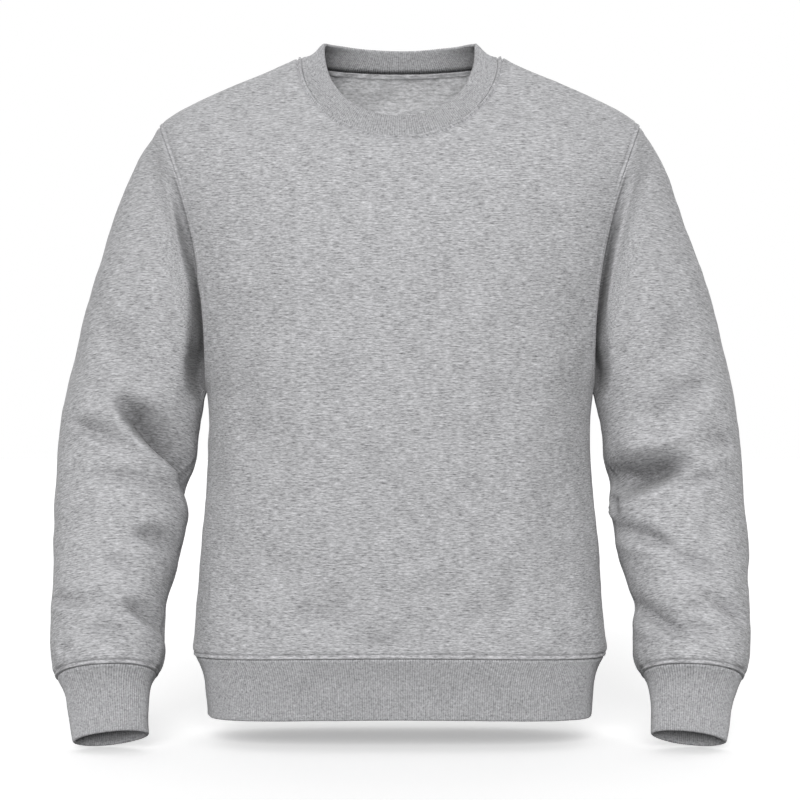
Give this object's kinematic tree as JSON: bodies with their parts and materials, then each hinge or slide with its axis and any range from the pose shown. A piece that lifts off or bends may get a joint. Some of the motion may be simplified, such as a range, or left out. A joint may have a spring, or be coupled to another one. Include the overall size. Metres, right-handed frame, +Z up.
{
  "type": "crewneck sweatshirt",
  "caption": "Long-sleeved crewneck sweatshirt in heather fleece, filled out and hollow, with ribbed neckband, hem band and cuffs and hanging sleeves.",
  "frame": {"origin": "midway between the two neck points of the shoulder seams, where the wearer's neck and shoulders hold the garment", "axes": "+Z up, the front faces -Y, +X towards the wearer's left"},
  "size_m": [0.7238, 0.2652, 0.7329],
  "materials": {
    "fleece": "light heather grey fleece-back jersey, matt with a slight nap",
    "rib": "heather grey fine rib knit, matt"
  },
  "bodies": {
    "root": {"front": "fleece", "back": "fleece", "sleeve_left": "fleece", "sleeve_right": "fleece", "neckband": "rib", "hem_band": "rib", "cuff_left": "rib", "cuff_right": "rib"}
  },
  "joints": []
}
